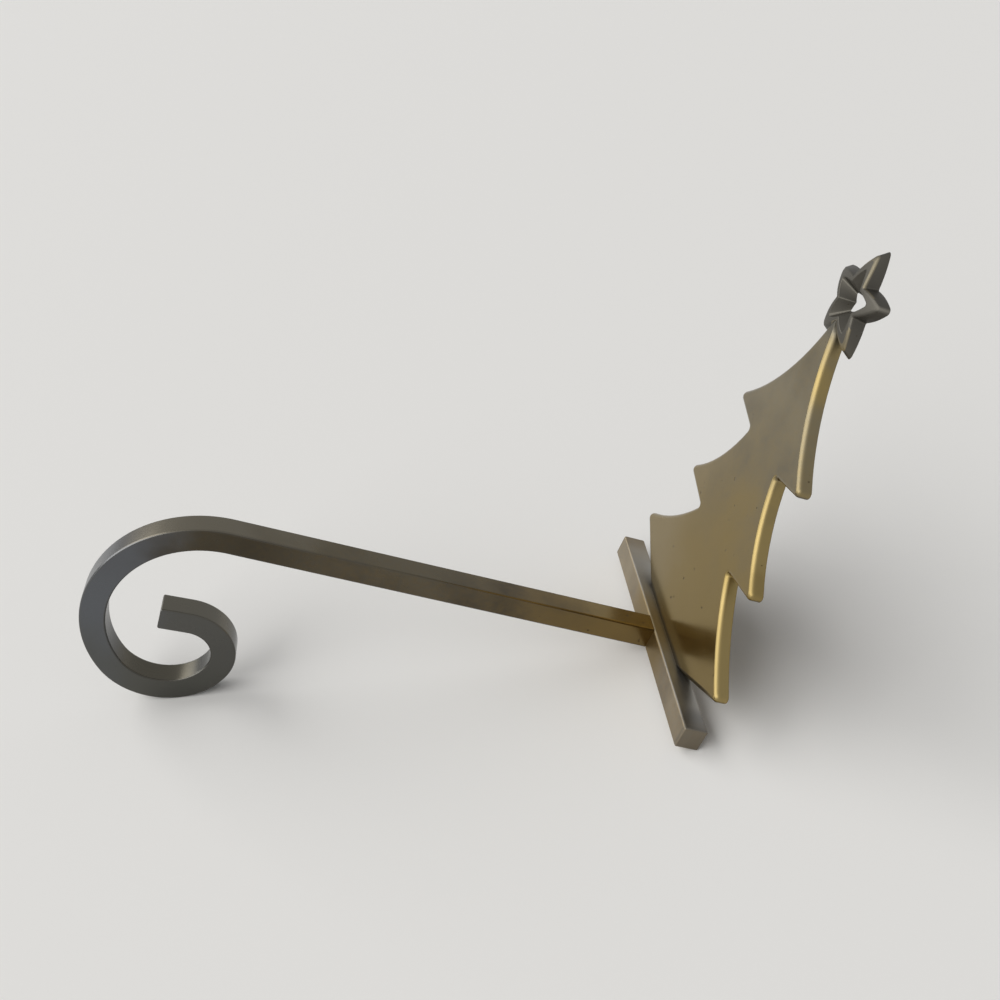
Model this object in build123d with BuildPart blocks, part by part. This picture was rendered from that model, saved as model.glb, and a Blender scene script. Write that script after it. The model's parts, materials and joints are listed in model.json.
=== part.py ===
from build123d import *
import math
import os

# Mantel stocking holder in solid brass: a square bar bent into a scroll hook, a crossbar
# across its other end, and a cast tree with an open star that stands on the crossbar.
# Millimetres. It stands as on a table, on the scroll's lowest turn and on the crossbar's
# rear lower edge, so the arm slopes down to the crossbar and the tree leans back.

# Square bar of the arm and the crossbar
bar_size = 9.5
bar_edge_chamfer = 0.6
crossbar_length = 117.0
arm_run = 167.5  # straight part of the arm, from the crossbar's front face to the first bend

# Scroll hook: radius of the bar's centre line and turn in degrees, bend after bend
crown_radius = 41.0
crown_turn = 132.0
belly_radius = 23.4
belly_turn = 116.5
heel_radius = 15.2
heel_turn = 114.0
tail_length = 11.2  # straight end of the scroll

# Tree casting: a flat plate with a rounded front rim, set back on the crossbar's top
plate_thickness = 5.4
tree_setback = 5.0  # from the crossbar's front to the plate's
rim_round = 2.0
notch_round = 1.0
foot_half_width = 27.6

# Tiers of branches, top to bottom: reach is measured from the tree's axis, height from its foot
top_tip_reach = 37.9
top_tip_height = 89.6
top_hollow = 5.8  # depth of the curve along the tier's sloping side
top_notch_reach = 17.1
top_notch_height = 85.3
middle_tip_reach = 46.0
middle_tip_height = 49.3
middle_hollow = 3.9
middle_notch_reach = 21.9
middle_notch_height = 44.9
bottom_tip_reach = 60.0
bottom_tip_height = 14.4
bottom_hollow = 2.7
hem_belly = 0.3  # depth of the curve along each tier's lower edge

# Open star on the tree's top, tapering towards its front as it left the mould
star_points = 5
star_height = 148.7  # centre of the star above the tree's foot
star_reach = 22.0
star_notch = 9.6
star_wall = 4.6
star_tip_round = 1.5  # also in the notches between the points
star_draft = 9.5  # degrees
star_rim_round = 1.0
neck_overlap = 2.0  # how far the tree's top runs up into the star's wall


def scroll_line(plane):
    """Centre line of the arm and its scroll hook, drawn in a plane seen from the side."""
    bends = (
        (crown_radius, crown_turn),
        (belly_radius, belly_turn),
        (heel_radius, heel_turn),
    )
    with BuildLine(plane) as line:
        last = Line((0, bar_size / 2), (-arm_run, bar_size / 2))
        for radius, turn in bends:
            last = JernArc(start=last @ 1, tangent=last % 1, radius=radius, arc_size=turn)
        Line(last @ 1, last @ 1 + tail_length * (last % 1))
    return line


def star_outline(plane, share):
    """Star about a plane's origin, one point up, at a share of its full size."""
    corners = []
    for index in range(2 * star_points):
        angle = math.radians(90 + 180 * index / star_points)
        radius = share * (star_notch if index % 2 else star_reach)
        corners.append((radius * math.cos(angle), radius * math.sin(angle)))
    with BuildSketch(plane) as outline:
        Polygon(*corners, align=None)
    return outline.sketch


branch_tip_round = 1.1 * rim_round  # a little more than the rim, so the rim runs around every tip
neck_half_width = 1.1 * rim_round  # where the tree's top runs into the star
neck_height = star_height - star_notch + neck_overlap

# Lean: the table touches the scroll's belly and the rear edge of the crossbar's underside
bends = scroll_line(Plane.XY).edges().filter_by(GeomType.CIRCLE)
crown_centre = bends[0].arc_center
belly_centre = bends[1].arc_center
belly_outside = belly_radius + bar_size / 2
rear_edge = Vector(bar_size - bar_edge_chamfer, 0)
span = rear_edge - belly_centre
lean = math.atan2(span.Y, span.X) + math.asin(belly_outside / span.length)
along = Vector(math.cos(lean), math.sin(lean))
upward = Vector(-math.sin(lean), math.cos(lean))

# Star proportions that follow from its outline
half_turn = math.pi / star_points
side_length = math.hypot(star_reach - star_notch * math.cos(half_turn), star_notch * math.sin(half_turn))
side_distance = star_reach * star_notch * math.sin(half_turn) / side_length
hole_share = (side_distance - star_wall) / side_distance
half_point = math.asin(star_notch * math.sin(half_turn) / side_length)
star_top = star_height + star_reach - star_tip_round / math.sin(half_point) + star_tip_round

# Where the holder's own axes lie when its box stands centred on the table
back_corner = Vector(tree_setback + plate_thickness, bar_size + star_top)
left_end = crown_centre.dot(along) - crown_radius - bar_size / 2
right_end = back_corner.dot(along)
table_height = rear_edge.dot(upward)
base = Plane(
    origin=(-(left_end + right_end) / 2, 0, -table_height),
    x_dir=(math.cos(lean), 0, -math.sin(lean)),
    z_dir=(math.sin(lean), 0, math.cos(lean)),
)
side = Plane(origin=base.origin, x_dir=base.x_dir, z_dir=-base.y_dir)
tree_face = Plane(
    origin=base.from_local_coords((tree_setback, 0, bar_size)),
    x_dir=base.y_dir,
    z_dir=base.x_dir,
)
star_back = Plane(
    origin=tree_face.from_local_coords((0, star_height, plate_thickness)),
    x_dir=base.y_dir,
    z_dir=base.x_dir,
)
depth_axis = Axis(base.origin, base.x_dir)
height_axis = Axis(base.origin, base.z_dir)

# Crossbar, the foot that lies on the mantel
with BuildPart() as crossbar:
    with BuildSketch(side):
        Rectangle(bar_size, bar_size, align=(Align.MIN, Align.MIN))
    extrude(amount=crossbar_length / 2, both=True)
    chamfer(crossbar.edges(), length=bar_edge_chamfer)

# Arm, bent from one bar, its square end against the crossbar's front face
with BuildPart() as arm:
    arm_line = scroll_line(side)
    with BuildSketch(Plane(origin=arm_line.line @ 0, x_dir=base.y_dir, z_dir=-base.x_dir)) as section:
        Rectangle(bar_size, bar_size)
        chamfer(section.vertices(), length=bar_edge_chamfer)
    sweep(path=arm_line.line)

# Star, open in the middle, with its points, notches and front edges rounded
with BuildPart() as star:
    extrude(star_outline(star_back, 1), amount=-plate_thickness, taper=star_draft)
    across = star.faces().sort_by(depth_axis)
    ridges = star.edges() - across[0].edges() - across[-1].edges()
    fillet(ridges, radius=star_tip_round)
    front_outline = star.faces().sort_by(depth_axis)[0].edges()
    fillet(front_outline, radius=star_rim_round)
    extrude(star_outline(star_back, hole_share), amount=-plate_thickness, mode=Mode.SUBTRACT)

# Tree, cast in one with the star: three tiers with hollow sides and upswept tips
tiers = (
    (top_tip_reach, top_tip_height, top_hollow, top_notch_reach, top_notch_height),
    (middle_tip_reach, middle_tip_height, middle_hollow, middle_notch_reach, middle_notch_height),
    (bottom_tip_reach, bottom_tip_height, bottom_hollow, foot_half_width, 0),
)
with BuildPart() as tree:
    with BuildSketch(tree_face) as tree_outline:
        with BuildLine():
            above = (neck_half_width, neck_height)
            Line((0, neck_height), above)
            for tip_reach, tip_height, hollow, inner_reach, inner_height in tiers:
                branch_tip = (tip_reach, tip_height)
                below = (inner_reach, inner_height)
                SagittaArc(above, branch_tip, -hollow)
                SagittaArc(branch_tip, below, hem_belly)
                above = below
            Line(above, (0, 0))
            mirror(about=Plane.YZ)
        make_face()
        for flip in (1, -1):
            for tip_reach, tip_height, _, inner_reach, inner_height in tiers:
                corner = tree_outline.vertices().sort_by_distance((flip * tip_reach, tip_height))[0]
                fillet(corner, radius=branch_tip_round)
                if inner_height:
                    corner = tree_outline.vertices().sort_by_distance((flip * inner_reach, inner_height))[0]
                    fillet(corner, radius=notch_round)
    extrude(amount=plate_thickness)
    tree_front = tree.faces().sort_by(depth_axis)[0]
    fillet(tree_front.edges().sort_by(height_axis)[1:-1], radius=rim_round)
    add(star.part)

os.makedirs("parts", exist_ok=True)
crossbar.part.label = "crossbar"
export_step(crossbar.part, "parts/crossbar.step")
arm.part.label = "arm"
export_step(arm.part, "parts/arm.step")
tree.part.label = "tree"
export_step(tree.part, "parts/tree.step")
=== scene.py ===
import json
import math

import bmesh
import bpy
from mathutils import Matrix, Vector


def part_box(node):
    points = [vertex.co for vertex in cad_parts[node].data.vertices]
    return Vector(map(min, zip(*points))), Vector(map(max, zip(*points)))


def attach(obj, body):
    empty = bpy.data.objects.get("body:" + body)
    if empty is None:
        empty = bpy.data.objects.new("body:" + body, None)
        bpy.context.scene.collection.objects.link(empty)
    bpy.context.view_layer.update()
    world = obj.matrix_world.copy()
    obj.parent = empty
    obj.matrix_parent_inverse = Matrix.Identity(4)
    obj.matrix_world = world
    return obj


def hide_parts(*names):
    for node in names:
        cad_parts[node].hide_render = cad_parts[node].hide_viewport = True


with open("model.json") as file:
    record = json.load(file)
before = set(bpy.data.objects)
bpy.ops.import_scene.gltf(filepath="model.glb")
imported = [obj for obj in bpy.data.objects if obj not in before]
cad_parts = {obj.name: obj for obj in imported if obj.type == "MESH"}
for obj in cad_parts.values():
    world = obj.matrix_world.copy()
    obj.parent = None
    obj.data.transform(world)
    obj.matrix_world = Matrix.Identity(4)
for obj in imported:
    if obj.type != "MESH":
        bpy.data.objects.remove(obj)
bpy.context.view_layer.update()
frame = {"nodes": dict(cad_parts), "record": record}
print("frame loaded:", ", ".join(frame["nodes"]))

mm = 0.001
merging = 0.001 * mm  # points nearer than this become one
samePlace = 0.01 * mm  # and nearer than this they count as on the same line
flatWeight = 80  # how far big faces decide the shading next to small ones

# square bar stock that the arm and the crossbar are cut from
barStock = {"size": 9.5 * mm, "edgeRound": 0.75 * mm, "edgeSteps": 4}

# the holder's own axes: x from the scroll to the tree, y along the crossbar, z off the mantel
restAxis = next(m["axis"] for m in frame["record"]["mounts"] if m["name"] == "mantel_rest")
lean = math.atan2(-restAxis[0], -restAxis[2])
barLow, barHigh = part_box("crossbar")
barMiddle = (Vector(barLow) + Vector(barHigh)) / 2
halfBar = barStock["size"] / 2
ownFrame = (
    Matrix.Translation(barMiddle)
    @ Matrix.Rotation(lean, 4, "Y")
    @ Matrix.Translation((-halfBar, 0, -halfBar))
)

# where the noises turn from one tone to the next, the same on all three pieces
tarnish = {
    "topTurn": (0.45, 0.85),  # how far up a face looks before it counts as a top, for the painted light on tops and flanks
    "cloudTurn": (0.34, 0.68), "cloudRange": (0.30, 0.70), "cloudDetail": 4.0,
    "mottleTurn": (0.30, 0.72), "mottleDetail": 3.0, "mottleRough": 0.65,
    "leastDull": 0.88,
    "wearTurn": (0.32, 0.60), "wearDetail": 3.0, "leastWear": 0.40,
    "keptWear": 0.15, "neckLoss": 0.9,  # gold left where the tarnish was kept, and lost at the neck
    "pitTurn": 0.05, "pitDetail": 2.0, "pitDark": 0.7,
    "waveDetail": 1.0, "grainDetail": 2.0,
}


def put(tree, kind, values=None, **settings):
    made = tree.nodes.new(kind)
    for key, value in settings.items():
        setattr(made, key, value)
    for key, value in (values or {}).items():
        made.inputs[key].default_value = value
    return made


def noise(tree, where, scale, detail, rough=0.55):
    settings = {"Scale": scale, "Detail": detail, "Roughness": rough}
    made = put(tree, "ShaderNodeTexNoise", settings)
    tree.links.new(where, made.inputs["Vector"])
    return made.outputs["Fac"]


def span(tree, value, low, high, toLow=0.0, toHigh=1.0):
    limits = {"From Min": low, "From Max": high, "To Min": toLow, "To Max": toHigh}
    made = put(tree, "ShaderNodeMapRange", limits, interpolation_type="SMOOTHSTEP")
    tree.links.new(value, made.inputs["Value"])
    return made.outputs["Result"]


def math2(tree, operation, first, second):
    made = put(tree, "ShaderNodeMath", operation=operation)
    for socket, value in zip(made.inputs, (first, second)):
        if isinstance(value, (int, float)):
            socket.default_value = value
        else:
            tree.links.new(value, socket)
    return made.outputs[0]


def tint(tree, factor, first, second):
    made = put(tree, "ShaderNodeMix", data_type="RGBA")
    sockets = (made.inputs[0], made.inputs[6], made.inputs[7])
    for socket, value in zip(sockets, (factor, first, second)):
        if isinstance(value, tuple):
            socket.default_value = (*value, 1.0)
        else:
            tree.links.new(value, socket)
    return made.outputs[2]


def ownPlace(tree):
    # object coordinates turned into the holder's own axes
    coords = put(tree, "ShaderNodeTexCoord")
    turned = put(tree, "ShaderNodeMapping", vector_type="TEXTURE")
    turned.inputs["Location"].default_value = ownFrame.to_translation()
    turned.inputs["Rotation"].default_value = (0.0, lean, 0.0)
    tree.links.new(coords.outputs["Object"], turned.inputs["Vector"])
    parts = put(tree, "ShaderNodeSeparateXYZ")
    tree.links.new(turned.outputs["Vector"], parts.inputs[0])
    return turned.outputs["Vector"], parts.outputs


# aged brass tarnish and wear, with painted light and shade on tops, flanks, rims and the joint
def agedBrassWithPaintedLight(name, look):
    material = bpy.data.materials.new(name)
    material.use_nodes = True
    tree = material.node_tree
    shader = tree.nodes["Principled BSDF"]
    shader.inputs["Metallic"].default_value = 1.0
    where, (alongX, alongY, alongZ) = ownPlace(tree)
    offMiddle = math2(tree, "ABSOLUTE", alongY, 0.0)
    axes = {"x": alongX, "y": alongY, "z": alongZ, "offMiddle": offMiddle}

    def plus(first, second):
        return math2(tree, "ADD", first, second)

    def times(first, second):
        return math2(tree, "MULTIPLY", first, second)

    def allBut(share):
        return math2(tree, "SUBTRACT", 1.0, share)

    def painted(layerName):
        return put(tree, "ShaderNodeAttribute", attribute_name=layerName).outputs["Fac"]

    # faces that look up and the flanks, so that zones can paint the tops lighter and the flanks
    # darker as painted light
    facing = put(tree, "ShaderNodeVectorMath", operation="DOT_PRODUCT")
    normal = put(tree, "ShaderNodeNewGeometry").outputs["Normal"]
    tree.links.new(normal, facing.inputs[0])
    facing.inputs[1].default_value = ownFrame.to_3x3() @ Vector((0, 0, 1))
    onTop = span(tree, facing.outputs["Value"], *tarnish["topTurn"])
    sides = {"top": onTop, "flanks": allBut(onTop)}

    # tarnish: broad clouds, then a fine mottle over them
    clouds = noise(tree, where, look["cloudScale"], tarnish["cloudDetail"])
    mottle = noise(
        tree, where, look["mottleScale"], tarnish["mottleDetail"], tarnish["mottleRough"],
    )
    colour = tint(tree, span(tree, clouds, *tarnish["cloudTurn"]), look["dark"], look["light"])
    warmer = span(tree, mottle, *tarnish["mottleTurn"], 0.0, look["mottle"])
    colour = tint(tree, warmer, colour, look["warm"])

    def byCloud(low, high):
        return span(tree, clouds, *tarnish["cloudRange"], low, high)

    rough = byCloud(look["roughLow"], look["roughHigh"])

    # parts of the piece that have turned another tone, and painted light and shade on the tops and
    # flanks, with ragged borders
    for axis, start, end, strength, tone, side in look["zones"]:
        shift = look["ragged"] * (end - start)
        border = plus(axes[axis], byCloud(-shift, shift))
        share = span(tree, border, start, end, 0.0, strength)
        if side in sides:
            share = times(share, sides[side])
        colour = tint(tree, share, colour, tone)
    dulled = painted("dulled")
    colour = tint(tree, times(dulled, byCloud(tarnish["leastDull"], 1.0)), colour, look["dull"])

    # rubbed edges and rims, where the tarnish has rubbed off in patches, and painted highlight on
    # the near rims and ridges
    edges = painted("wearAndSheen")
    rough = plus(rough, times(edges, look["rimRough"]))
    rough = plus(rough, times(dulled, look["dullRough"]))
    patches = noise(tree, where, look["wearScale"], tarnish["wearDetail"])
    wearAndSheen = times(edges, span(tree, patches, *tarnish["wearTurn"], tarnish["leastWear"], 1.0))
    if "keptFrom" in look:  # heights between which the rims kept their tarnish
        above = span(tree, alongZ, *look["keptFrom"])
        below = span(tree, alongZ, *look["keptTo"], 1.0, 0.0)
        wearAndSheen = times(wearAndSheen, span(tree, times(above, below), 0.0, 1.0, 1.0, tarnish["keptWear"]))
    if "neck" in look:  # and the neck below the star
        neck = times(span(tree, alongZ, *look["neck"], 0.0, tarnish["neckLoss"]), allBut(dulled))
        wearAndSheen = times(wearAndSheen, allBut(neck))
    colour = tint(tree, wearAndSheen, colour, look["gold"])

    # small dark pits
    specks = noise(tree, where, look["pitScale"], tarnish["pitDetail"])
    pits = span(tree, specks, look["pitFrom"], look["pitFrom"] + tarnish["pitTurn"])
    if "pitted" in look:  # only this stretch of the bar has them
        pits = times(pits, span(tree, alongX, *look["pitted"]))
    colour = tint(tree, times(pits, tarnish["pitDark"]), colour, look["pit"])

    tree.links.new(colour, shader.inputs["Base Color"])
    tree.links.new(rough, shader.inputs["Roughness"])

    # slow waves of the cast or drawn surface, fine grain and the pits' hollows
    waves = noise(tree, where, look["waveScale"], tarnish["waveDetail"])
    grain = noise(tree, where, look["grainScale"], tarnish["grainDetail"])
    height = plus(times(waves, look["waveDepth"]), times(grain, look["grainDepth"]))
    height = math2(tree, "SUBTRACT", height, times(pits, look["pitDepth"]))
    bump = put(tree, "ShaderNodeBump", {"Strength": 1.0, "Distance": 1.0})
    tree.links.new(height, bump.inputs["Height"])
    tree.links.new(bump.outputs["Normal"], shader.inputs["Normal"])
    return material


def startPiece():
    bm = bmesh.new()
    bm.faces.layers.float.new("wearAndSheen")  # how far each face is rubbed bright, with painted highlight on the near rims and ridges
    bm.faces.layers.float.new("dulled")  # how far it has gone grey
    return bm


def mark(bm, layerName, faces, amount):
    layer = bm.faces.layers.float[layerName]
    for face in faces:
        face[layer] = amount


def finishPiece(bm, name, material, node):
    bmesh.ops.remove_doubles(bm, verts=bm.verts, dist=merging)
    bmesh.ops.recalc_face_normals(bm, faces=bm.faces)
    bmesh.ops.transform(bm, matrix=ownFrame, verts=bm.verts)
    for face in bm.faces:
        face.smooth = True
    mesh = bpy.data.meshes.new(name)
    bm.to_mesh(mesh)
    bm.free()
    mesh.materials.append(material)
    piece = bpy.data.objects.new(name, mesh)
    bpy.context.collection.objects.link(piece)
    piece.modifiers.new("flatFaces", "WEIGHTED_NORMAL").weight = flatWeight
    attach(piece, "root")
    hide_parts(node)
    print(name, "done:", len(mesh.polygons), "faces")


armBar = {
    "run": 167.5 * mm,
    # radius of the bar's middle line, turn in degrees, steps
    "bends": ((41.0 * mm, 132.0, 66), (23.4 * mm, 116.5, 50), (15.2 * mm, 114.0, 44)),
    "tail": 11.2 * mm,
    "endRound": 0.7 * mm,
    "cornerTurn": (0.15, 0.985),  # sideways share of the normals on its rounded corners
    "insideFrom": 0.9,  # faces this share of the half bar inside the middle line have gone grey
    "edgeWear": 0.35, "insideDull": 0.65,
    "look": {
        "dark": (0.076, 0.065, 0.048), "light": (0.120, 0.104, 0.076),
        "warm": (0.140, 0.098, 0.044), "gold": (0.104, 0.098, 0.085),
        "dull": (0.050, 0.050, 0.047), "pit": (0.020, 0.015, 0.010),
        "cloudScale": 26.0, "mottleScale": 420.0, "mottle": 0.35,
        "wearScale": 60.0, "ragged": 0.25,
        # axis, start, end, strength, tone, side
        "zones": (
            ("x", -0.125, -0.162, 0.55, (0.036, 0.031, 0.022), "flanks"),  # dark crown
            ("x", -0.130, -0.168, 0.75, (0.190, 0.176, 0.146), "top"),  # painted shade: darker flanks over the crown
            ("z", -0.012, -0.034, 0.80, (0.110, 0.111, 0.106), "all"),  # grey scroll
            ("x", -0.180, -0.200, 0.85, (0.126, 0.134, 0.148), "flanks"),  # painted reflection: bluish window light on the flanks at the left
            ("z", -0.040, -0.062, 0.60, (0.098, 0.098, 0.086), "all"),  # duller below
            ("z", -0.050, -0.060, 0.90, (0.170, 0.150, 0.105), "top"),  # browner tone inside, painted lighter on the upward faces
            ("x", -0.085, -0.022, 0.75, (0.226, 0.154, 0.055), "all"),  # brown at the crossbar
            ("x", -0.050, -0.100, 0.35, (0.165, 0.142, 0.092), "top"),  # olive tone halfway, painted lighter on the tops
            ("x", -0.042, -0.012, 0.60, (0.400, 0.290, 0.120), "top"),  # golden tone at the end, painted lighter on the tops
        ),
        "pitScale": 330.0, "pitFrom": 0.685, "pitted": (-0.080, -0.030), "pitDepth": 0.00006,
        "roughLow": 0.20, "roughHigh": 0.30, "rimRough": 0.06, "dullRough": 0.06,
        "waveScale": 50.0, "waveDepth": 0.00010, "grainScale": 1800.0, "grainDepth": 0.000006,
    },
}


def barSection(bm, size):
    # one square face in the yz plane with its corners rounded
    upright = Matrix.Rotation(math.radians(90), 4, "Y")
    middle = Matrix.Translation((0, 0, size / 2)) @ upright
    bmesh.ops.create_grid(bm, x_segments=1, y_segments=1, size=size / 2, matrix=middle)
    bmesh.ops.bevel(
        bm, geom=bm.verts[:], affect="VERTICES", offset=barStock["edgeRound"],
        segments=barStock["edgeSteps"], profile=0.5, material=-1,
    )
    return bm.faces[:][0]


def pushOut(bm, face, step):
    grown = bmesh.ops.extrude_face_region(bm, geom=[face])["geom"]
    verts = [v for v in grown if isinstance(v, bmesh.types.BMVert)]
    bmesh.ops.translate(bm, vec=step, verts=verts)
    return next(f for f in grown if isinstance(f, bmesh.types.BMFace))


def makeArm():
    bm = startPiece()
    at = Vector((-armBar["run"], 0, halfBar))
    heading, inward = Vector((-1, 0, 0)), Vector((0, 0, -1))
    end = pushOut(bm, barSection(bm, barStock["size"]), heading * armBar["run"])
    inside = []
    for radius, turn, steps in armBar["bends"]:
        middle = at + inward * radius
        before = set(bm.faces)
        turned = bmesh.ops.spin(
            bm, geom=[end, *end.edges, *end.verts], cent=middle, axis=(0, -1, 0),
            dvec=(0, 0, 0), angle=math.radians(turn), steps=steps,
        )
        end = next(f for f in turned["geom_last"] if isinstance(f, bmesh.types.BMFace))
        reach = radius - armBar["insideFrom"] * halfBar
        for face in bm.faces:
            fresh = face not in before and face != end
            if fresh and (face.calc_center_median() - middle).xz.length < reach:
                inside.append(face)
        swing = Matrix.Rotation(-math.radians(turn), 3, "Y")
        heading, inward = swing @ heading, swing @ inward
        at = middle - inward * radius
    lastTurn, end = end, pushOut(bm, end, heading * armBar["tail"])
    bmesh.ops.delete(bm, geom=[lastTurn], context="FACES_ONLY")  # it would stay inside the bar
    rounded = bmesh.ops.bevel(
        bm, geom=end.edges[:], affect="EDGES", offset=armBar["endRound"],
        segments=barStock["edgeSteps"], profile=0.5, material=-1, clamp_overlap=False,
    )
    bm.normal_update()
    low, high = armBar["cornerTurn"]
    corners = [f for f in bm.faces if low < abs(f.normal.y) < high]
    mark(bm, "wearAndSheen", corners + rounded["faces"], armBar["edgeWear"])
    mark(bm, "dulled", inside, armBar["insideDull"])
    finishPiece(bm, "armBar", agedBrassWithPaintedLight("darkArmBrass", armBar["look"]), "arm")


makeArm()

crossbarFoot = {
    "length": 117.0 * mm,
    "edgeWear": 0.2,
    "look": {
        "dark": (0.190, 0.160, 0.118), "light": (0.300, 0.255, 0.185),
        "warm": (0.290, 0.210, 0.110), "gold": (0.230, 0.196, 0.138),
        "dull": (0.120, 0.115, 0.100), "pit": (0.020, 0.016, 0.012),
        "cloudScale": 40.0, "mottleScale": 420.0, "mottle": 0.35,
        "wearScale": 60.0, "ragged": 0.25,
        "zones": (
            ("offMiddle", 0.0580, 0.0500, 0.90, (0.390, 0.375, 0.340), "top"),  # painted reflection: paler grey on the top
            ("offMiddle", 0.020, 0.004, 0.75, (0.320, 0.240, 0.110), "top"),  # golden middle
            ("offMiddle", 0.030, 0.010, 0.75, (0.215, 0.150, 0.055), "flanks"),  # brazed brown
            ("offMiddle", 0.0560, 0.0580, 0.60, (0.135, 0.121, 0.098), "all"),  # darker ends
            ("y", 0.030, 0.050, 0.40, (0.400, 0.340, 0.240), "flanks"),  # paler far half
            ("y", 0.038, 0.048, 0.60, (0.280, 0.225, 0.150), "top"),  # warmer far end
            ("y", -0.046, -0.053, 0.70, (0.170, 0.164, 0.152), "top"),  # grey near end
        ),
        "pitScale": 260.0, "pitFrom": 0.735, "pitDepth": 0.00008,
        "roughLow": 0.32, "roughHigh": 0.44, "rimRough": 0.80, "dullRough": 0.0,
        "waveScale": 70.0, "waveDepth": 0.00010, "grainScale": 1800.0, "grainDepth": 0.000008,
    },
}


def makeCrossbar():
    bm = startPiece()
    size = barStock["size"]
    stretch = Matrix.Diagonal((size, crossbarFoot["length"], size, 1))
    shape = Matrix.Translation((halfBar, 0, halfBar)) @ stretch
    bmesh.ops.create_cube(bm, size=1.0, matrix=shape)
    rounded = bmesh.ops.bevel(
        bm, geom=bm.edges[:], affect="EDGES", offset=barStock["edgeRound"],
        segments=barStock["edgeSteps"], profile=0.5, material=-1,
    )
    mark(bm, "wearAndSheen", rounded["faces"], crossbarFoot["edgeWear"])
    brass = agedBrassWithPaintedLight("greyCrossbarBrass", crossbarFoot["look"])
    finishPiece(bm, "crossbarFoot", brass, "crossbar")


makeCrossbar()

treeCasting = {
    "thickness": 5.4 * mm,
    "setback": 5.0 * mm,
    "neckHalf": 2.2 * mm,
    "neckHeight": 140.5 * mm,
    # each tier's tip (reach and height), hollow of its sloping side, notch below, steps of the side
    "tiers": (
        ((37.9 * mm, 89.6 * mm), 5.8 * mm, (17.1 * mm, 85.3 * mm), 12),
        ((46.0 * mm, 49.3 * mm), 3.9 * mm, (21.9 * mm, 44.9 * mm), 9),
        ((60.0 * mm, 14.4 * mm), 2.7 * mm, (27.6 * mm, 0.0), 9),
    ),
    "tipRound": 2.2 * mm, "tipSteps": 9,
    "notchCut": 1.3 * mm, "notchSteps": 4,
    "rimRound": 2.0 * mm, "rimSteps": 8,
    "backRound": 0.35 * mm, "backSteps": 2,
    # normals of the rim and the plate's side along its depth, and of the hems along its height
    "rimTurn": (-0.97, 0.3), "hemTurn": -0.2,
    # rubbed gold, with painted highlight on the near side's rims and painted shade on the far
    # side's rims and the hems
    "nearWearAndHighlight": 1.0, "farWearAndShade": 0.2, "hemWearAndShade": 0.1,
    "star": {
        "points": 5, "height": 148.7 * mm,
        "proud": 0.06 * mm,  # its back stands proud of the plate's
        "reach": 20.4 * mm, "notch": 9.6 * mm, "sideBelly": 0.8 * mm, "sideSteps": 6,
        "tipRound": 1.5 * mm, "tipSteps": 8, "notchRound": 0.8 * mm, "notchSteps": 4,
        "draft": 9.5, "frontRound": 1.0 * mm, "roundSteps": 4,
        "backRound": 0.4 * mm, "backBlend": 0.3,  # share of the round at its middle step
        # hole as a share of the outline, at the front and at the back
        "holeFront": 0.65, "holeBack": 0.30,
        "holeRound": 0.4 * mm, "holeEdge": 0.4 * mm, "holeBlunt": 0.22,
        "dome": 0.5, "domeCurve": 1.5,
        # rubbed ridges, their gold partly painted highlight: how far past the middle to the far
        # side, and how far above or below it they start, both as a share of the notch
        "rubbedAndLitOver": 0.3, "rubbedAndLitOff": 0.7,
        "edgeWear": 0.85, "edgeDull": 0.25,
    },
    "look": {
        "dark": (0.174, 0.150, 0.101), "light": (0.236, 0.205, 0.139),
        "warm": (0.255, 0.193, 0.098), "gold": (0.312, 0.236, 0.099),
        "dull": (0.094, 0.088, 0.075), "pit": (0.050, 0.034, 0.016),
        "cloudScale": 30.0, "mottleScale": 380.0, "mottle": 0.30,
        "wearScale": 45.0, "ragged": 0.25,
        "zones": (
            ("z", 0.115, 0.050, 0.85, (0.242, 0.170, 0.049), "all"),  # browner at the foot
            ("y", 0.000, 0.040, 0.25, (0.320, 0.285, 0.220), "all"),  # paler on the far side
            ("z", 0.0118, 0.0102, 0.85, (0.045, 0.036, 0.020), "all"),  # painted shade in the crevice where the tree sits on the crossbar
            ("z", 0.1425, 0.1490, 0.90, (0.138, 0.129, 0.106), "all"),  # dull neck
        ),
        "keptFrom": (0.096, 0.104), "keptTo": (0.118, 0.130), "neck": (0.1425, 0.1475),
        "pitScale": 330.0, "pitFrom": 0.715, "pitDepth": 0.00006,
        "roughLow": 0.17, "roughHigh": 0.24, "rimRough": 0.25, "dullRough": 0.30,
        "waveScale": 45.0, "waveDepth": 0.00012, "grainScale": 1800.0, "grainDepth": 0.000006,
    },
}


def curveTo(bm, start, end, bulge, steps):
    # swing a vertex to end along an arc that bulges to the left of its way
    first, last = start.co.copy(), Vector(end)
    way = last - first
    left = Vector((0, -way.z, way.y)).normalized()
    radius = (way.length_squared / 4 + bulge * bulge) / (2 * bulge)
    middle = (first + last) / 2 + left * (bulge - radius)
    turn = 2 * math.asin(way.length / 2 / abs(radius)) * -math.copysign(1, bulge)
    swung = bmesh.ops.spin(
        bm, geom=[start], cent=middle, axis=(1, 0, 0), dvec=(0, 0, 0), angle=turn, steps=steps,
    )
    return next(v for v in swung["geom_last"] if isinstance(v, bmesh.types.BMVert))


def lineTo(bm, start, end):
    grown = bmesh.ops.extrude_vert_indiv(bm, verts=[start])["verts"][0]
    bmesh.ops.translate(bm, vec=Vector(end) - start.co, verts=[grown])
    return grown


def nearest(bm, place):
    return min(bm.verts, key=lambda v: (v.co - Vector(place)).length)


def cornerArc(corner, back, onward, radius):
    # start and end of a corner's rounding, and its bulge to the left of the way between them
    half = back.angle(onward) / 2
    cut = radius / math.tan(half)
    start, end = corner + back * cut, corner + onward * cut
    leftwards = (end - start).cross(corner - start)
    return start, end, math.copysign(radius * (1 - math.sin(half)), leftwards)


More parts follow.
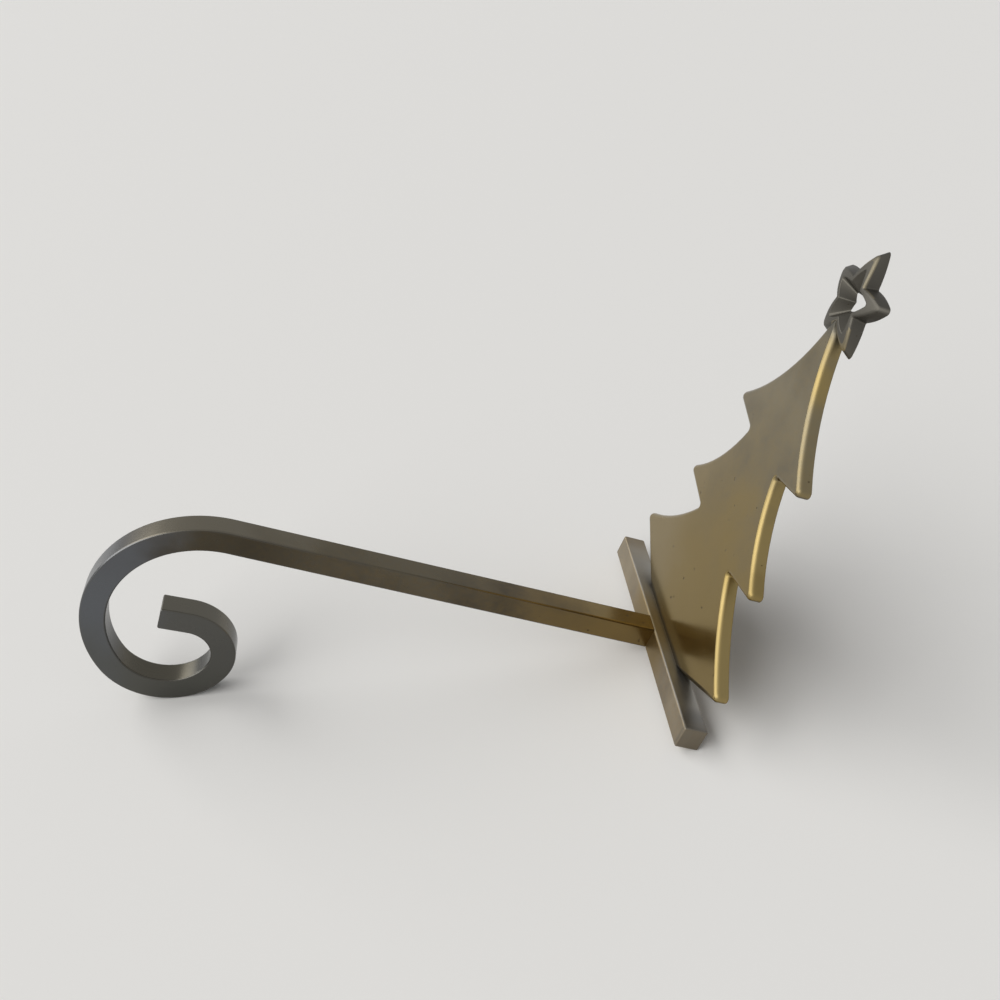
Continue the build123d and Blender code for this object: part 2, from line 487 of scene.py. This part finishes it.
def makeTreePlate(bm):
    cast = treeCasting
    front, foot = cast["setback"], barStock["size"]
    top = foot + cast["neckHeight"]

    def place(flat):
        return Vector((front, flat.x, foot + flat.y))

    # half of the outline from the neck down to the foot, then mirrored
    above = Vector((cast["neckHalf"], cast["neckHeight"]))
    at = bmesh.ops.create_vert(bm, co=(front, 0, top))["vert"][0]
    at = lineTo(bm, at, place(above))
    for tip, hollow, below, steps in cast["tiers"]:
        tip, below = Vector(tip), Vector(below)
        slope = above - tip
        turn = 2 * math.atan(2 * hollow / slope.length)
        upSide = Matrix.Rotation(turn, 2) @ slope.normalized()
        hem = (below - tip).normalized()
        start, end, bulge = cornerArc(tip, upSide, hem, cast["tipRound"])
        shorter = (start - above).length / slope.length
        at = curveTo(bm, at, place(start), -hollow * shorter ** 2, steps)
        at = curveTo(bm, at, place(end), bulge, cast["tipSteps"])
        at = lineTo(bm, at, place(below))
        above = below
    lineTo(bm, at, (front, 0, foot))
    bmesh.ops.mirror(bm, geom=bm.verts[:] + bm.edges[:], axis="Y", merge_dist=samePlace)
    bmesh.ops.remove_doubles(bm, verts=bm.verts, dist=samePlace)
    bmesh.ops.contextual_create(bm, geom=bm.edges[:])
    for side in (1, -1):
        for _, _, (reach, height), _ in cast["tiers"][:-1]:
            notch = nearest(bm, (front, side * reach, foot + height))
            bmesh.ops.bevel(
                bm, geom=[notch], affect="VERTICES", offset=cast["notchCut"],
                segments=cast["notchSteps"], profile=0.5, material=-1,
            )
    pushOut(bm, bm.faces[:][0], (cast["thickness"], 0, 0))

    def lies(edge, axis, value):
        return all(abs(v.co[axis] - value) < samePlace for v in edge.verts)

    # rounded edges, except along the foot and across the neck
    rounds = (
        (front, cast["rimRound"], cast["rimSteps"]),
        (front + cast["thickness"], cast["backRound"], cast["backSteps"]),
    )
    for depth, radius, steps in rounds:
        outline = [e for e in bm.edges if lies(e, 0, depth)]
        outline = [e for e in outline if not lies(e, 2, foot) and not lies(e, 2, top)]
        bmesh.ops.bevel(
            bm, geom=outline, affect="EDGES", offset=radius,
            segments=steps, profile=0.5, material=-1, clamp_overlap=False,
        )

    # rubbed gold on the rounded rim and the plate's side, with painted highlight on the near side
    # and painted shade on the far side and the hems
    bmesh.ops.recalc_face_normals(bm, faces=bm.faces)
    low, high = cast["rimTurn"]
    sides = [f for f in bm.faces if low < f.normal.x < high]
    hems = [f for f in sides if f.normal.z < cast["hemTurn"]]
    near = [f for f in sides if f.calc_center_median().y < 0]
    mark(bm, "wearAndSheen", sides, cast["farWearAndShade"])
    mark(bm, "wearAndSheen", near, cast["nearWearAndHighlight"])
    mark(bm, "wearAndSheen", hems, cast["hemWearAndShade"])


def starOutline(bm, star, middle):
    # one point up and clockwise, its sides a little bellied and its corners round
    count = 2 * star["points"]
    kinds = (
        (star["reach"], star["tipRound"], star["tipSteps"]),
        (star["notch"], star["notchRound"], star["notchSteps"]),
    )
    corners = []
    for index in range(count):
        turn = math.radians(90 - 360 * index / count)
        corners.append(Vector((math.cos(turn), math.sin(turn))) * kinds[index % 2][0])
    sideLength = (corners[0] - corners[1]).length
    swell = 2 * math.atan(2 * star["sideBelly"] / sideLength)
    arcs = []
    for index, corner in enumerate(corners):
        following = corners[(index + 1) % count]
        back = Matrix.Rotation(-swell, 2) @ (corners[index - 1] - corner).normalized()
        onward = Matrix.Rotation(swell, 2) @ (following - corner).normalized()
        _, radius, steps = kinds[index % 2]
        arcs.append((*cornerArc(corner, back, onward, radius), steps))

    def place(flat):
        return middle + Vector((0, flat.x, flat.y))

    at = bmesh.ops.create_vert(bm, co=place(arcs[0][0]))["vert"][0]
    for index, (start, end, bulge, steps) in enumerate(arcs):
        at = curveTo(bm, at, place(end), bulge, steps)
        nextStart = arcs[(index + 1) % count][0]
        shorter = (nextStart - end).length / sideLength
        belly = star["sideBelly"] * shorter ** 2
        at = curveTo(bm, at, place(nextStart), belly, star["sideSteps"])
    bmesh.ops.remove_doubles(bm, verts=bm.verts, dist=merging)
    return abs(corners[0].cross(corners[1])) / sideLength  # from the middle to each side


def roundOver(radius, steps):
    # way inwards and depth below the top along a rounded edge
    turns = [math.radians(90 * step / steps) for step in range(steps + 1)]
    return [(radius * (1 - math.cos(a)), radius * (1 - math.sin(a))) for a in turns]


def makeStar(bm):
    star, thickness = treeCasting["star"], treeCasting["thickness"]
    back = treeCasting["setback"] + thickness + star["proud"]
    middle = Vector((back, 0, barStock["size"] + star["height"]))
    wayOut = starOutline(bm, star, middle)

    # share of the outline, depth before the back and whether it can be rubbed,
    # from the hole's back edge over the outside and the front to the hole's wall
    front = 1 - thickness * math.tan(math.radians(star["draft"])) / wayOut
    backRound, backBlend = star["backRound"], star["backBlend"] * star["backRound"]
    profile = [
        (star["holeBack"] + star["holeEdge"] / wayOut, 0.0, False),
        (1 - backRound / wayOut, 0.0, False),
        (1 - backBlend / wayOut, backBlend, False),
        (1.0, backRound, False),
    ]
    for inward, below in roundOver(star["frontRound"], star["roundSteps"]):
        profile.append((front - inward / wayOut, thickness - below, inward > 0))
    for inward, below in reversed(roundOver(star["holeRound"], star["roundSteps"])):
        profile.append((star["holeFront"] + inward / wayOut, thickness - below, False))
    profile.append((star["holeBack"], star["holeEdge"], False))
    holeTop = star["holeFront"] + (star["holeRound"] + samePlace) / wayOut

    # the outline is pushed on and scaled from step to step, and its ends are joined
    share, depth = 1.0, 0.0
    edges = bm.edges[:]
    loops, ridges, holeVerts = [], [], []
    for nextShare, nextDepth, canRub in profile:
        if loops:
            grown = bmesh.ops.extrude_edge_only(bm, edges=edges)["geom"]
            edges = [e for e in grown if isinstance(e, bmesh.types.BMEdge)]
            ridges += [f for f in grown if isinstance(f, bmesh.types.BMFace) and canRub]
        verts = list({v for e in edges for v in e.verts})
        ratio = nextShare / share
        around = Matrix.Translation(-middle)
        bmesh.ops.scale(bm, vec=(1, ratio, ratio), verts=verts, space=around)
        bmesh.ops.translate(bm, vec=(depth - nextDepth, 0, 0), verts=verts)
        share, depth = nextShare, nextDepth
        loops.append(edges)
        if share < holeTop:
            holeVerts += [(v, share * star["notch"]) for v in verts]
    bmesh.ops.bridge_loops(bm, edges=loops[0] + loops[-1])

    # the hole's points are blunter than the star's
    for vert, notch in holeVerts:
        out = (vert.co - middle) * Vector((0, 1, 1))
        vert.co -= out.normalized() * max(out.length - notch, 0.0) * star["holeBlunt"]

    # the front falls back towards the points
    for vert in bm.verts:
        out = ((vert.co - middle).length - star["notch"]) / (star["reach"] - star["notch"])
        fall = star["dome"] * max(out, 0.0) ** star["domeCurve"]
        vert.co.x += (middle.x - vert.co.x) * fall
    mark(bm, "dulled", bm.faces, 1.0)

    # rubbed ridges on the near points above and below, their gold partly painted highlight
    over, away = star["rubbedAndLitOver"] * star["notch"], star["rubbedAndLitOff"] * star["notch"]
    for face in ridges:
        off = face.calc_center_median() - middle
        if off.y < over and abs(off.z) > away:
            mark(bm, "wearAndSheen", [face], star["edgeWear"])
            mark(bm, "dulled", [face], star["edgeDull"])


def makeTree():
    bm = startPiece()
    makeTreePlate(bm)
    star = startPiece()
    makeStar(star)
    bmesh.ops.recalc_face_normals(star, faces=star.faces)
    whole = bpy.data.meshes.new("starTop")
    star.to_mesh(whole)
    star.free()
    bm.from_mesh(whole)
    bpy.data.meshes.remove(whole)
    brass = agedBrassWithPaintedLight("goldenTreeBrass", treeCasting["look"])
    finishPiece(bm, "treeCasting", brass, "tree")


makeTree()

# pale floor
floorLook = {"size": 6.0, "tone": (0.84, 0.83, 0.81), "rough": 0.75}


def makeFloor():
    bm = bmesh.new()
    bmesh.ops.create_grid(bm, x_segments=1, y_segments=1, size=floorLook["size"] / 2)
    mesh = bpy.data.meshes.new("paleFloor")
    bm.to_mesh(mesh)
    bm.free()
    floor = bpy.data.objects.new("paleFloor", mesh)
    bpy.context.collection.objects.link(floor)
    material = bpy.data.materials.new("paleTable")
    material.use_nodes = True
    shader = material.node_tree.nodes["Principled BSDF"]
    shader.inputs["Base Color"].default_value = (*floorLook["tone"], 1.0)
    shader.inputs["Roughness"].default_value = floorLook["rough"]
    mesh.materials.append(material)
    print("floor done")


makeFloor()

# soft daylight from two windows on the left, and a pale room that the metal mirrors
daylight = (1.0, 0.995, 0.98)
windows = {
    "nearWindow": {"from": (-0.80, -0.50, 0.60), "spread": 54.0, "power": 1.92, "tone": daylight},
    "farWindow": {"from": (-0.80, 0.40, 0.60), "spread": 54.0, "power": 1.66, "tone": daylight},
}
roomLight = {"tone": (0.97, 0.98, 1.0), "strength": 0.23, "mirrored": 0.62}


def lightScene():
    for name, window in windows.items():
        light = bpy.data.lights.new(name, "SUN")
        light.energy, light.color = window["power"], window["tone"]
        light.angle = math.radians(window["spread"])
        holder = bpy.data.objects.new(name, light)
        holder.location = window["from"]
        holder.rotation_euler = Vector(window["from"]).to_track_quat("Z", "Y").to_euler()
        bpy.context.collection.objects.link(holder)
    world = bpy.data.worlds.new("paleRoom")
    world.use_nodes = True
    tree = world.node_tree
    background = tree.nodes["Background"]
    background.inputs["Color"].default_value = (*roomLight["tone"], 1.0)
    path = put(tree, "ShaderNodeLightPath")
    seen = math2(tree, "MAXIMUM", path.outputs["Is Camera Ray"], path.outputs["Is Glossy Ray"])
    strength = span(tree, seen, 0.0, 1.0, roomLight["strength"], roomLight["mirrored"])
    tree.links.new(strength, background.inputs["Strength"])
    bpy.context.scene.world = world
    print("lights done")


lightScene()

# camera at the photograph's place
view = {
    "at": (-0.01275, -0.35247, 0.32505), "turn": (55.008, 2.055, -5.679),
    "lens": 42.634, "sensor": 36.0, "nearest": 0.01,
}


def placeCamera():
    data = bpy.data.cameras.new("tableView")
    data.lens, data.sensor_width = view["lens"], view["sensor"]
    data.clip_start = view["nearest"]
    camera = bpy.data.objects.new("tableView", data)
    camera.location = view["at"]
    camera.rotation_euler = [math.radians(a) for a in view["turn"]]
    bpy.context.collection.objects.link(camera)
    bpy.context.scene.camera = camera
    bpy.context.scene.view_settings.view_transform = "Standard"
    print("camera done")


placeCamera()
